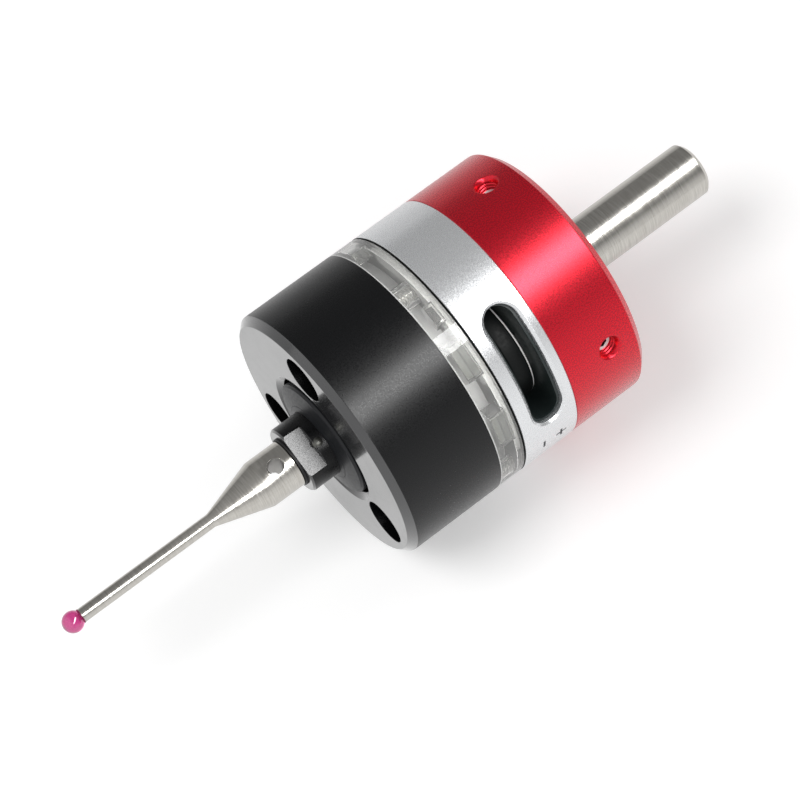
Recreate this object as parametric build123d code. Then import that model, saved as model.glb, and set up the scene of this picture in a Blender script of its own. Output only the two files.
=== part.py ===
from build123d import *
import os
from math import hypot, radians, sin, sqrt

# Three-dimensional edge finder, sizes in millimetres.
# Each piece is drawn along its own +Z, with z = 0 on the front face of the black housing and
# the shank at high z. Angles about that axis start at the side that faces up when the tool
# lies on a bench. place() then lays the tool along +X, with the origin where the shank leaves
# the rear cap.

# Body rings, from front to rear
body_d = 38.0
front_length = 15.0
window_length = 4.0
gasket_thickness = 0.15
battery_length = 8.85
cap_length = 12.0
body_chamfer = 1.0

# Fits and clearances
press_gap = 0.01
running_gap = 0.03
seat_gap = 0.05
thread_gap = 0.05

# Opening in the front and the dust washer in it
opening_d = 18.4
opening_chamfer = 0.75
washer_gap = 0.5
washer_proud = 0.2
washer_thickness = 1.2
washer_chamfer = 0.3
washer_crown = 0.45
seal_width = 0.8
seal_rise = 0.15
seal_lip_width = 0.4
seal_lip_thickness = 0.3

# Screws that clamp the whole stack of rings
stack_screw_count = 3
stack_screw_angle = -15.0
screw_slot_wall = 1.0
stack_screw_d = 3.0
stack_head_d = 5.5
stack_head_height = 3.0
stack_key_af = 2.5
stack_key_depth = 1.6
counterbore_d = 6.6
counterbore_depth = 10.0
clearance_hole_d = 3.4
stack_screw_grip = 6.0

# Three-armed seat: each arm rests between two balls
arm_d = 2.5
arm_overrun = 1.8
arm_root_r = 4.6
arm_end_chamfer = 0.3
pocket_end_gap = 1.9
seat_r = 12.3
seat_ball_d = 3.0
seat_ball_spacing = 3.8
front_wall = 3.0
seat_block_height = 2.2
seat_block_width = 8.2
seat_block_edge = 0.4
seat_ball_sink = 0.2
pocket_side_gap = 0.1
pocket_corner_r = 2.0

# Stylus holder: wrench collar, neck and hub in one turned piece
neck_d = 9.8
collar_reach = 5.1
collar_chamfer = 0.25
flat_angle = 18.0
flat_af = 7.5
flat_length = 2.8
hub_d = 13.6
hub_front = 2.4
hub_rear = 9.0
hub_chamfer = 0.3
stylus_thread_d = 4.0
stylus_thread_depth = 6.7
spring_nipple_length = 1.0
lock_pin_d = 1.6
lock_pin_setback = 1.7
lock_pin_proud = 0.15

# Stylus and ball
ball_d = 3.0
ball_reach = 40.6
stem_d = 2.0
cone_length = 8.0
stylus_base_d = 6.9
stylus_base_length = 5.0
stylus_base_chamfer = 0.15
stylus_washer_thickness = 0.3
stylus_washer_d = 7.3
cross_hole_d = 2.2
cross_hole_angle = 6.0
cross_hole_setback = 2.5
stem_peg_d = 0.9
stem_peg_length = 1.0
stem_cup_depth = 0.35

# Return spring and its plug
spring_d = 8.6
spring_wire_d = 0.9
spring_turns = 4.0
spring_nipple_gap = 0.2
plug_d = 10.0
plug_flange_d = 12.0
plug_flange_thickness = 1.1
plug_depth = 1.9

# Clear window ring with the lamps and their board
window_inner_d = 22.0
board_thickness = 0.8
board_edge = 1.3
board_inner_d = 18.0
lamp_width = 5.0
lamp_depth = 3.0
lamp_height = 2.0
lamp_wall = 1.6
lamp_offset_angle = 18.0
lamp_pocket_gap = 0.2
chip_angle = 4.0
chip_width = 2.8
chip_depth = 2.0
chip_height = 1.1

# Cell slot, holder, cell and contacts
slot_setback = 2.25
slot_height = 5.0
slot_rim_chamfer = 0.4
rim_tolerance = 0.01
cell_side_gap = 0.8
cell_d = 16.0
cell_thickness = 3.2
cell_step = 0.5
cell_cap_d = 13.4
cell_chamfer = 0.3
cell_depth = 4.1
holder_gap = 0.05
holder_wall = 0.35
holder_recess = 1.1
contact_thickness = 0.22
contact_width = 5.0
contact_length = 13.0

# Rear cap, shank and the four screws that centre it
cap_wall = 2.5
cap_bore_gap = 0.3
cap_bore_chamfer = 0.3
shank_d = 8.0
shank_reach = 24.5
shank_chamfer = 0.6
shank_boss_d = 10.0
shank_flange_d = 21.0
shank_flange_length = 5.0
flange_gap = 0.7
clamp_ring_inner_d = 12.0
set_screw_count = 4
set_screw_angle = -30.0
set_screw_setback = 5.0
set_screw_d = 3.0
set_screw_recess = 2.0
set_screw_key_af = 1.5
set_screw_key_depth = 1.6
set_screw_chamfer = 0.3
set_hole_chamfer = 0.25

# Places worked out from the sizes above
window_front = front_length
gasket_front = window_front + window_length
battery_front = gasket_front + gasket_thickness
cap_front = battery_front + battery_length
body_length = cap_front + cap_length
body_r = body_d / 2
opening_r = opening_d / 2
neck_r = neck_d / 2
between_screws = stack_screw_angle + 180 / stack_screw_count
arm_angle = between_screws
slot_angle = between_screws
slot_width = cell_d + 2 * (cell_side_gap + holder_wall + holder_gap)
slot_to_screw = slot_width / 2 + screw_slot_wall + clearance_hole_d / 2
stack_screw_circle_r = slot_to_screw / sin(radians(180 / stack_screw_count))
washer_rear = washer_thickness - washer_proud
washer_outer_r = opening_r - washer_gap
seal_inner_r = neck_r + running_gap
seal_outer_r = seal_inner_r + seal_width
washer_inner_r = seal_outer_r + running_gap
seat_floor = front_wall
seat_block_top = seat_floor + seat_block_height
seat_ball_z = seat_block_top - seat_ball_sink
seat_reach = (arm_d + seat_ball_d) / 2 + seat_gap
arm_tip_r = seat_r + arm_overrun
arm_z = seat_ball_z + sqrt(seat_reach**2 - (seat_ball_spacing / 2) ** 2)
pocket_width = seat_block_width + 2 * pocket_side_gap
pocket_outer_r = arm_tip_r + pocket_end_gap
seat_block_outer_r = pocket_outer_r - pocket_side_gap
seat_block_inner_r = seat_r - seat_ball_d / 2 - seat_block_edge
stylus_base_rear = -collar_reach - stylus_washer_thickness
stylus_cone_rear = stylus_base_rear - stylus_base_length
stylus_cone_front = stylus_cone_rear - cone_length
board_front = gasket_front - board_thickness
board_outer_r = stack_screw_circle_r + clearance_hole_d / 2 + board_edge
lamp_outer_r = body_r - lamp_wall
plug_face = battery_front - plug_flange_thickness
spring_front = hub_rear + running_gap
spring_rear = plug_face - press_gap
nipple_d = spring_d - 2 * spring_wire_d - 2 * spring_nipple_gap
slot_centre = battery_front + slot_setback + slot_height / 2
cell_offset = body_r - cell_depth - cell_d / 2
slot_bottom = cell_offset - cell_d / 2 - holder_wall - 2 * holder_gap
screw_tip_z = cap_front + stack_screw_grip
set_screw_z = body_length - set_screw_setback
flange_rear = body_length - cap_wall - press_gap
flange_front = flange_rear - shank_flange_length
cap_cavity_r = shank_flange_d / 2 + flange_gap


def place(shape):
    """Lay a piece that was drawn along +Z down along +X, with the origin at the shank's root."""
    bench = Plane(origin=(-body_length, 0, 0), x_dir=(0, 0, 1), z_dir=(1, 0, 0))
    return bench.location * shape


def save(name, *solids):
    """Write one node from one or more separate solids."""
    placed = [place(solid) for solid in solids]
    node = placed[0] if len(placed) == 1 else Compound(children=placed)
    export_step(node, f"parts/{name}.step")


def turned(*points):
    """Revolve a closed outline of (radius, z) points about the tool's axis."""
    outline = Plane.XZ * Polyline(*points, close=True)
    return revolve(make_face(outline), axis=Axis.Z)


def tube(outer_r, inner_r, z_low, z_high):
    """A plain ring between two heights."""
    return turned((inner_r, z_low), (outer_r, z_low), (outer_r, z_high), (inner_r, z_high))


def rod(radius, z_low, z_high):
    """A plain cylinder on the tool's axis."""
    return Pos(0, 0, z_low) * Cylinder(radius, z_high - z_low, align=(Align.CENTER, Align.CENTER, Align.MIN))


def block(width, depth, z_low, z_high, corner_r):
    """An upright block with rounded corners, its length along X."""
    return Pos(0, 0, z_low) * extrude(RectangleRounded(width, depth, corner_r), z_high - z_low)


def turn_to(angle, shape):
    """Turn a shape about the tool's axis."""
    return Rot(0, 0, angle) * shape


def around(count, first_angle, shape):
    """Copies of a shape, evenly spaced about the tool's axis."""
    return [turn_to(first_angle + i * 360 / count, shape) for i in range(count)]


def pointing_out(shape, z):
    """Lay a shape drawn along +Z so that it points away from the tool's axis at height z."""
    return Pos(0, 0, z) * (Rot(0, 90, 0) * shape)


def front_housing():
    """Black cup: chamfered front, large opening, three screw counterbores, three arm pockets."""
    cup = turned(
        (opening_r + opening_chamfer, 0),
        (body_r - body_chamfer, 0),
        (body_r, body_chamfer),
        (body_r, front_length),
        (opening_r, front_length),
        (opening_r, opening_chamfer),
    )
    counterbore = rod(counterbore_d / 2, 0, counterbore_depth)
    through = rod(clearance_hole_d / 2, counterbore_depth, front_length)
    screw_hole = Pos(stack_screw_circle_r, 0, 0) * (counterbore + through)
    pocket_middle = (opening_r + pocket_outer_r) / 2
    pocket_length = pocket_outer_r - opening_r + 2 * pocket_corner_r
    pocket = block(pocket_length, pocket_width, seat_floor, front_length, pocket_corner_r)
    pocket = Pos(pocket_middle - pocket_corner_r, 0, 0) * pocket
    cup -= around(stack_screw_count, stack_screw_angle, screw_hole)
    cup -= around(stack_screw_count, arm_angle, pocket)
    return cup


def stack_screws():
    """Socket-head screws that run from the front counterbores into the rear cap."""
    head_top = counterbore_depth - stack_head_height
    screw = rod(stack_head_d / 2, head_top, counterbore_depth)
    screw += rod(stack_screw_d / 2, counterbore_depth, screw_tip_z)
    key = extrude(RegularPolygon(stack_key_af / 2, 6, major_radius=False), stack_key_depth)
    screw -= Pos(0, 0, head_top) * key
    return around(stack_screw_count, stack_screw_angle, Pos(stack_screw_circle_r, 0, 0) * screw)


def seat_block():
    """Insulating block that carries the two balls under one arm."""
    length = seat_block_outer_r - seat_block_inner_r
    middle = (seat_block_outer_r + seat_block_inner_r) / 2
    corner = pocket_corner_r - pocket_side_gap
    piece = Pos(middle, 0, 0) * block(length, seat_block_width, seat_floor, seat_block_top, corner)
    socket_floor = seat_ball_z - seat_ball_d / 2 - press_gap
    socket = rod(seat_ball_d / 2 + press_gap, socket_floor, seat_block_top)
    for side in (-1, 1):
        piece -= Pos(seat_r, side * seat_ball_spacing / 2, 0) * socket
    return piece


def seat_balls():
    """Six hardened balls, two under each arm."""
    balls = []
    for side in (-1, 1):
        ball = Pos(seat_r, side * seat_ball_spacing / 2, seat_ball_z) * Sphere(seat_ball_d / 2)
        balls += around(stack_screw_count, arm_angle, ball)
    return balls


def spider_arms():
    """Three pins pressed into the hub."""
    pin = turned(
        (0, arm_root_r),
        (arm_d / 2, arm_root_r),
        (arm_d / 2, arm_tip_r - arm_end_chamfer),
        (arm_d / 2 - arm_end_chamfer, arm_tip_r),
        (0, arm_tip_r),
    )
    return around(stack_screw_count, arm_angle, pointing_out(pin, arm_z))


def stylus_holder():
    """Collar with two wrench flats, neck, and the hub that carries the arms."""
    bore_r = stylus_thread_d / 2 + thread_gap
    body = turned(
        (bore_r, -collar_reach),
        (neck_r - collar_chamfer, -collar_reach),
        (neck_r, -collar_reach + collar_chamfer),
        (neck_r, hub_front),
        (hub_d / 2 - hub_chamfer, hub_front),
        (hub_d / 2, hub_front + hub_chamfer),
        (hub_d / 2, hub_rear - hub_chamfer),
        (hub_d / 2 - hub_chamfer, hub_rear),
        (nipple_d / 2, hub_rear),
        (nipple_d / 2, hub_rear + spring_nipple_length),
        (0, hub_rear + spring_nipple_length),
        (0, -collar_reach + stylus_thread_depth),
        (bore_r, -collar_reach + stylus_thread_depth),
    )
    flat_cut = Pos(flat_af / 2 + neck_r, 0, -collar_reach + flat_length / 2) * Box(
        2 * neck_r, 2 * neck_d, flat_length
    )
    body -= around(2, flat_angle, flat_cut)
    arm_hole = rod(arm_d / 2 + press_gap, arm_root_r - press_gap, hub_d)
    body -= around(stack_screw_count, arm_angle, pointing_out(arm_hole, arm_z))
    pin_hole = rod(lock_pin_d / 2 + press_gap, bore_r, neck_d)
    body -= turn_to(flat_angle, pointing_out(pin_hole, -lock_pin_setback))
    return body


def lock_pin():
    """Small pin behind one flat that keeps the stylus thread from turning."""
    pin = rod(lock_pin_d / 2, stylus_thread_d / 2 + thread_gap, neck_r + lock_pin_proud)
    return turn_to(flat_angle, pointing_out(pin, -lock_pin_setback))


def stylus():
    """Steel stylus: thread, cross-drilled base, cone, stem and the peg for the ball."""
    base_r = stylus_base_d / 2
    thread_r = stylus_thread_d / 2
    stem_end = -ball_reach + ball_d / 2 - stem_cup_depth
    thread_end = -collar_reach + stylus_thread_depth - running_gap
    body = turned(
        (0, stem_end),
        (stem_d / 2, stem_end),
        (stem_d / 2, stylus_cone_front),
        (base_r, stylus_cone_rear),
        (base_r, stylus_base_rear - stylus_base_chamfer),
        (base_r - stylus_base_chamfer, stylus_base_rear),
        (thread_r, stylus_base_rear),
        (thread_r, thread_end),
        (0, thread_end),
    )
    body -= Pos(0, 0, -ball_reach) * Sphere(ball_d / 2 + press_gap)
    body += rod(stem_peg_d / 2, -ball_reach + ball_d / 2 - stem_peg_length, stem_end + stem_d)
    cross_hole = Rot(0, 90, 0) * Cylinder(cross_hole_d / 2, 2 * stylus_base_d)
    body -= turn_to(cross_hole_angle, Pos(0, 0, stylus_base_rear - cross_hole_setback) * cross_hole)
    return body


def ruby_ball():
    """Ball tip, drilled for the stem's peg."""
    ball = Pos(0, 0, -ball_reach) * Sphere(ball_d / 2)
    peg_floor = -ball_reach + ball_d / 2 - stem_peg_length - press_gap
    return ball - rod(stem_peg_d / 2 + press_gap, peg_floor, 0)


def stylus_washer():
    """Thin black washer between the stylus and the collar."""
    inner_r = stylus_thread_d / 2 + thread_gap
    return tube(stylus_washer_d / 2, inner_r, stylus_base_rear, -collar_reach)


def dust_washer():
    """Slightly crowned washer that closes the opening round the neck."""
    return turned(
        (washer_inner_r, -washer_proud - washer_crown),
        (washer_outer_r - washer_chamfer, -washer_proud),
        (washer_outer_r, washer_chamfer - washer_proud),
        (washer_outer_r, washer_rear),
        (washer_inner_r, washer_rear),
    )


def neck_seal():
    """Rubber ring that carries the dust washer on the neck and carries on its slope."""
    lip_r = seal_outer_r + seal_lip_width
    front = -washer_proud - washer_crown
    rear = washer_rear + running_gap
    return turned(
        (seal_inner_r, front - seal_rise),
        (seal_outer_r, front),
        (seal_outer_r, rear),
        (lip_r, rear),
        (seal_outer_r, rear + seal_lip_thickness),
        (seal_inner_r, rear + seal_lip_thickness),
    )


def return_spring():
    """Square-wire compression spring with ground ends between the hub and the plug."""
    height = spring_rear - spring_front
    coil_r = (spring_d - spring_wire_d) / 2
    path = Helix(pitch=height / spring_turns, height=height, radius=coil_r)
    section = Plane(origin=path @ 0, z_dir=path % 0) * Rectangle(spring_wire_d, spring_wire_d)
    wire = sweep(section, path, is_frenet=True)
    return Pos(0, 0, spring_front) * (wire & rod(spring_d, 0, height))


def spring_plug():
    """Plug in the battery body that the spring pushes against."""
    return turned(
        (0, plug_face - spring_nipple_length),
        (nipple_d / 2, plug_face - spring_nipple_length),
        (nipple_d / 2, plug_face),
        (plug_flange_d / 2, plug_face),
        (plug_flange_d / 2, battery_front),
        (plug_d / 2 - running_gap, battery_front),
        (plug_d / 2 - running_gap, battery_front + plug_depth),
        (0, battery_front + plug_depth),
    )


def stack_holes(radius, z_low, z_high):
    """The three holes for the stack screws, as bodies to cut away."""
    hole = Pos(stack_screw_circle_r, 0, 0) * rod(radius, z_low, z_high)
    return around(stack_screw_count, stack_screw_angle, hole)


def lamp_angles():
    """Two lamps between each pair of screws."""
    sides = (-lamp_offset_angle, lamp_offset_angle)
    return [arm_angle + i * 360 / stack_screw_count + side for i in range(stack_screw_count) for side in sides]


def on_board(angle, outer_r, width, depth, height):
    """A box that stands on the front of the lamp board, its outer side at outer_r."""
    middle = outer_r - depth / 2
    return turn_to(angle, Pos(middle, 0, board_front - height / 2) * Box(depth, width, height))


def window_ring():
    """Clear ring with pockets for the lamps and a rebate for their board."""
    rebate_r = board_outer_r + running_gap
    ring = turned(
        (window_inner_d / 2, window_front),
        (body_r, window_front),
        (body_r, gasket_front),
        (rebate_r, gasket_front),
        (rebate_r, board_front),
        (window_inner_d / 2, board_front),
    )
    ring -= stack_holes(clearance_hole_d / 2, window_front, gasket_front)
    grow = 2 * lamp_pocket_gap
    for angle in lamp_angles():
        outer_r = lamp_outer_r + lamp_pocket_gap
        ring -= on_board(angle, outer_r, lamp_width + grow, lamp_depth + grow, lamp_height + lamp_pocket_gap)
    outer_r = lamp_outer_r + lamp_pocket_gap
    ring -= on_board(chip_angle, outer_r, chip_width + grow, chip_depth + grow, chip_height + lamp_pocket_gap)
    return ring


def lamps():
    """Six lamp blocks on the board."""
    return [on_board(angle, lamp_outer_r, lamp_width, lamp_depth, lamp_height) for angle in lamp_angles()]


def trigger_chip():
    """Small circuit that switches the lamps."""
    return on_board(chip_angle, lamp_outer_r, chip_width, chip_depth, chip_height)


def lamp_board():
    """Ring-shaped circuit board behind the lamps."""
    board = tube(board_outer_r, board_inner_d / 2, board_front, gasket_front)
    return board - stack_holes(clearance_hole_d / 2, board_front, gasket_front)


def gasket():
    """Thin black film between the window ring and the battery body."""
    film = tube(body_r, board_inner_d / 2, gasket_front, battery_front)
    return film - stack_holes(clearance_hole_d / 2, gasket_front, battery_front)


def slot_form(width, height, inner_end, outer_end):
    """A round-ended slot shape that runs outwards at the slot's angle."""
    profile = Rot(0, 0, 90) * SlotOverall(width, height)
    bar = Pos(0, 0, inner_end) * extrude(profile, outer_end - inner_end)
    return turn_to(slot_angle, pointing_out(bar, slot_centre))


def on_slot_rim(edge):
    """True for the edges where the cell slot breaks through the body's outside."""
    points = (edge @ 0, edge @ 0.5, edge @ 1)
    at_outside = all(abs(hypot(point.X, point.Y) - body_r) < rim_tolerance for point in points)
    in_slot = all(abs(point.Z - slot_centre) < slot_height / 2 + rim_tolerance for point in points)
    return at_outside and in_slot


def battery_body():
    """Silver body with the cell slot and the seat of the spring plug."""
    body = rod(body_r, battery_front, cap_front)
    body -= rod(plug_d / 2, battery_front, battery_front + plug_depth)
    body -= slot_form(slot_width, slot_height, slot_bottom, body_d)
    rim = body.edges().filter_by(on_slot_rim)
    body = chamfer(rim, slot_rim_chamfer)
    body -= stack_holes(clearance_hole_d / 2, battery_front, cap_front)
    return body


def cell_holder():
    """Black plastic liner in the slot."""
    outer_w = slot_width - 2 * holder_gap
    outer_h = slot_height - 2 * holder_gap
    outer = slot_form(outer_w, outer_h, slot_bottom + holder_gap, body_r)
    inner_start = slot_bottom + holder_gap + holder_wall
    inner = slot_form(outer_w - 2 * holder_wall, outer_h - 2 * holder_wall, inner_start, body_d)
    inside = rod(body_r - holder_recess, battery_front, cap_front)
    return (outer - inner) & inside


def coin_cell():
    """Coin cell with its minus cap to the front."""
    front = slot_centre - cell_thickness / 2
    rear = slot_centre + cell_thickness / 2
    cell_r = cell_d / 2
    cell = turned(
        (0, front),
        (cell_cap_d / 2, front),
        (cell_cap_d / 2, front + cell_step),
        (cell_r - cell_chamfer, front + cell_step),
        (cell_r, front + cell_step + cell_chamfer),
        (cell_r, rear - cell_chamfer),
        (cell_r - cell_chamfer, rear),
        (0, rear),
    )
    return turn_to(slot_angle, Pos(cell_offset, 0, 0) * cell)


def contact_strip(side):
    """Nickel strip against one face of the cell: side -1 is the minus face, 1 the plus face."""
    gap = (slot_height - 2 * holder_gap - 2 * holder_wall - cell_thickness) / 2
    middle = slot_centre + side * (cell_thickness / 2 + gap - contact_thickness / 2 - press_gap)
    strip = Box(contact_length, contact_width, contact_thickness)
    return turn_to(slot_angle, Pos(cell_offset, 0, middle) * strip)


def rear_cap():
    """Red cap with the shank's cavity and four centring screw holes."""
    bore_r = shank_boss_d / 2 + cap_bore_gap
    cap = turned(
        (cap_cavity_r, cap_front),
        (body_r, cap_front),
        (body_r, body_length - body_chamfer),
        (body_r - body_chamfer, body_length),
        (bore_r + cap_bore_chamfer, body_length),
        (bore_r, body_length - cap_bore_chamfer),
        (bore_r, body_length - cap_wall),
        (cap_cavity_r, body_length - cap_wall),
    )
    hole_r = set_screw_d / 2 + thread_gap
    hole = rod(hole_r, shank_flange_d / 2, body_d)
    mouth = Pos(0, 0, body_r - set_hole_chamfer) * Cone(
        hole_r, hole_r + 2 * set_hole_chamfer, 2 * set_hole_chamfer, align=(Align.CENTER, Align.CENTER, Align.MIN)
    )
    cap -= around(set_screw_count, set_screw_angle, pointing_out(hole + mouth, set_screw_z))
    cap -= stack_holes(stack_screw_d / 2 + thread_gap, cap_front, screw_tip_z + thread_gap)
    return cap


def set_screws():
    """Four headless screws that bear on the shank's flange."""
    tip = shank_flange_d / 2 + press_gap
    top = body_r - set_screw_recess
    radius = set_screw_d / 2
    screw = turned(
        (0, tip),
        (radius - set_screw_chamfer, tip),
        (radius, tip + set_screw_chamfer),
        (radius, top - set_screw_chamfer),
        (radius - set_screw_chamfer, top),
        (0, top),
    )
    key = extrude(RegularPolygon(set_screw_key_af / 2, 6, major_radius=False), set_screw_key_depth)
    screw -= Pos(0, 0, top - set_screw_key_depth) * key
    return around(set_screw_count, set_screw_angle, pointing_out(screw, set_screw_z))


def shank():
    """Steel shank with the boss and flange that the cap holds."""
    shank_end = body_length + shank_reach
    return turned(
        (0, flange_front),
        (shank_flange_d / 2, flange_front),
        (shank_flange_d / 2, flange_rear),
        (shank_boss_d / 2, flange_rear),
        (shank_boss_d / 2, body_length),
        (shank_d / 2, body_length),
        (shank_d / 2, shank_end - shank_chamfer),
        (shank_d / 2 - shank_chamfer, shank_end),
        (0, shank_end),
    )


def clamp_ring():
    """Ring that the battery body presses on the shank's flange."""
    outer_r = cap_cavity_r - pocket_side_gap
    return tube(outer_r, clamp_ring_inner_d / 2, cap_front, flange_front - press_gap)


os.makedirs("parts", exist_ok=True)
save("front_housing", front_housing())
save("stack_screws", *stack_screws())
save("seat_blocks", *around(stack_screw_count, arm_angle, seat_block()))
save("seat_balls", *seat_balls())
save("spider_arms", *spider_arms())
save("stylus_holder", stylus_holder())
save("lock_pin", lock_pin())
save("stylus", stylus())
save("ruby_ball", ruby_ball())
save("stylus_washer", stylus_washer())
save("dust_washer", dust_washer())
save("neck_seal", neck_seal())
save("return_spring", return_spring())
save("spring_plug", spring_plug())
save("window_ring", window_ring())
save("lamps", *lamps())
save("trigger_chip", trigger_chip())
save("lamp_board", lamp_board())
save("gasket", gasket())
save("battery_body", battery_body())
save("cell_holder", cell_holder())
save("coin_cell", coin_cell())
save("contact_minus", contact_strip(-1))
save("contact_plus", contact_strip(1))
save("rear_cap", rear_cap())
save("set_screws", *set_screws())
save("shank", shank())
save("clamp_ring", clamp_ring())
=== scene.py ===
from math import cos, hypot, pi, radians, sin, sqrt, tau

import bmesh
import bpy
from mathutils import Matrix, Vector


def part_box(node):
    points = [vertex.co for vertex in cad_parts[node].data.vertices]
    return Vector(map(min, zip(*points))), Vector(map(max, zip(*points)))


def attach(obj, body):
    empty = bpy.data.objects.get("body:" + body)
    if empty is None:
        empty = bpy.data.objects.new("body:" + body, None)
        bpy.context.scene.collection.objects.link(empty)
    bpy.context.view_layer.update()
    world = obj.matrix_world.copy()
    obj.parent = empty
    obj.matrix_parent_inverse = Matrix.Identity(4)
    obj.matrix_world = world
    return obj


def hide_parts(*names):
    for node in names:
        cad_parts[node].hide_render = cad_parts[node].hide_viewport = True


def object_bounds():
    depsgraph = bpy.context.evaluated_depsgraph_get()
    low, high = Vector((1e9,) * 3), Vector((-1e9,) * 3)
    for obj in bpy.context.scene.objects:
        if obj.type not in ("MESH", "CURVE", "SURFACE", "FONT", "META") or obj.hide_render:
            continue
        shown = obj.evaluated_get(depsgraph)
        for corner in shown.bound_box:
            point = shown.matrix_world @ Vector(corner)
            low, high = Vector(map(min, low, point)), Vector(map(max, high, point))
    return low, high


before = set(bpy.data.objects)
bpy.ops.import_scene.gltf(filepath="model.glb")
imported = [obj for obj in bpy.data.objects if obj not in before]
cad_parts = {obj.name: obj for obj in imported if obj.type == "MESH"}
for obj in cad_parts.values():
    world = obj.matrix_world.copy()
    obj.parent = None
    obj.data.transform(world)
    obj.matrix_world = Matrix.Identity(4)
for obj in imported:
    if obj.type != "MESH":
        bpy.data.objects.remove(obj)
cad_low, cad_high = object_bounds()

# One millimetre. The sizes of the tool are in millimetres, and every mesh is made in metres.
MM = 0.001

# Steps round a large ring, a middling piece, a small turned piece, and a hole or slot
RING_STEPS = 216
MIDDLE_STEPS = 128
SMALL_STEPS = 96
HOLE_STEPS = 64
CORNER_STEPS = 8

# Where the rings of the body start and end along the tool's axis
FRONT_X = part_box("front_housing")[0].x / MM
WINDOW_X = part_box("window_ring")[0].x / MM
BOARD_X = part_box("lamp_board")[0].x / MM
GASKET_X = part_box("gasket")[0].x / MM
BATTERY_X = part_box("battery_body")[0].x / MM
CAP_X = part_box("rear_cap")[0].x / MM
REAR_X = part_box("rear_cap")[1].x / MM
BODY_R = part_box("front_housing")[1].y / MM

# Angles about the tool's axis: 0 faces up, and 90 faces the camera's side
SCREW_ANGLES = (-15, 105, 225)
SEAT_ANGLES = (45, 165, 285)
SET_SCREW_ANGLES = (-30, 60, 150, 240)
SLOT_ANGLE = 45
LAMP_ANGLES = (27, 63, 147, 183, 267, 303)

# The circle and the through holes of the stack screws
SCREW_CIRCLE_R = 13.741
SCREW_HOLE_R = 1.7

# The gap between pieces that fit closely, and how far a cutter reaches past what it cuts
FIT = 0.03
BEYOND = 1.0

# A radius so small that it is a point on the axis, and how near points are merged, in metres
ON_CENTRE = 1e-6
MERGE_DISTANCE = 1e-7

# The share of a unit vector that lies along an axis: when it runs along it, when it is turned
# towards it, and when it is slanted to it
ALIGNED = 0.9
TOWARDS = 0.6
SLANTED = 0.3


def around(angle, radius, x):
    """The point at an angle about the tool's axis, a radius from it and a place along it."""
    turn = radians(angle)
    return Vector((x, -radius * sin(turn), radius * cos(turn))) * MM


def facing(angle, radius, x):
    """Places a shape drawn along +Z so that it points away from the tool's axis."""
    turn = Matrix.Rotation(radians(angle), 4, "X")
    return Matrix.Translation(around(angle, radius, x)) @ turn


def along(angle, radius, x):
    """Places a shape drawn along +Z so that it points to the rear, parallel to the tool's axis."""
    return facing(angle, radius, x) @ Matrix.Rotation(pi / 2, 4, "Y")


ON_AXIS = along(0, 0, 0)


def as_object(name, bm, material):
    """Merges seams and poles, turns the faces outwards and makes an object at the origin."""
    bmesh.ops.remove_doubles(bm, verts=bm.verts, dist=MERGE_DISTANCE)
    bmesh.ops.recalc_face_normals(bm, faces=bm.faces)
    mesh = bpy.data.meshes.new(name)
    bm.to_mesh(mesh)
    bm.free()
    mesh.materials.append(material)
    piece = bpy.data.objects.new(name, mesh)
    bpy.context.scene.collection.objects.link(piece)
    return piece


def add_turned(bm, outline, steps=SMALL_STEPS, place=ON_AXIS):
    """Spins an outline of (length, radius) points about +Z and places it."""
    old = set(bm.faces)
    points = [bm.verts.new((radius * MM, 0, length * MM)) for length, radius in outline]
    sides = [bm.edges.new(pair) for pair in zip(points, points[1:])]
    if outline[0][1] > ON_CENTRE:
        sides.append(bm.edges.new((points[-1], points[0])))
    bmesh.ops.spin(bm, geom=points + sides, cent=(0, 0, 0), axis=(0, 0, 1), angle=tau, steps=steps,
                   use_merge=True, use_duplicate=False)
    made = {vert for face in bm.faces if face not in old for vert in face.verts}
    bmesh.ops.transform(bm, matrix=place, verts=list(made))


def turned(name, outline, material, steps=RING_STEPS):
    """A turned piece on the tool's axis, from (x, radius) points."""
    bm = bmesh.new()
    add_turned(bm, outline, steps)
    return as_object(name, bm, material)


def add_at_screws(bm, outline, x):
    """Adds a turned shape on the line of each stack screw, with its zero at a place along it."""
    for angle in SCREW_ANGLES:
        add_turned(bm, outline, HOLE_STEPS, along(angle, SCREW_CIRCLE_R, x))


def bore(radius, depth):
    """The outline of a cutter for a round hole, from outside the surface down to a depth."""
    return [(-BEYOND, 0), (-BEYOND, radius), (depth, radius), (depth, 0)]


def arc(middle, radius, start, end, steps):
    """Points (length, radius) on an arc about a point on the axis; 0 degrees points along it."""
    turns = [radians(start + (end - start) * step / steps) for step in range(steps + 1)]
    return [(middle + radius * cos(turn), radius * sin(turn)) for turn in turns]


# One ridge of a screw thread: shares of the pitch, and of the height from root to crest
RIDGE = ((0.0, 0.0), (0.25, 0.72), (0.4, 0.97), (0.5, 1.0), (0.6, 0.97), (0.75, 0.72))


def thread(start, end, radius, depth, pitch):
    """The outline of as many ridges of a screw thread as fit between two places."""
    count = int((end - start) / pitch)
    points = [(start + (ridge + part) * pitch, radius - depth * (1 - height))
              for ridge in range(count) for part, height in RIDGE]
    return points + [(start + count * pitch, radius - depth)]


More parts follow.
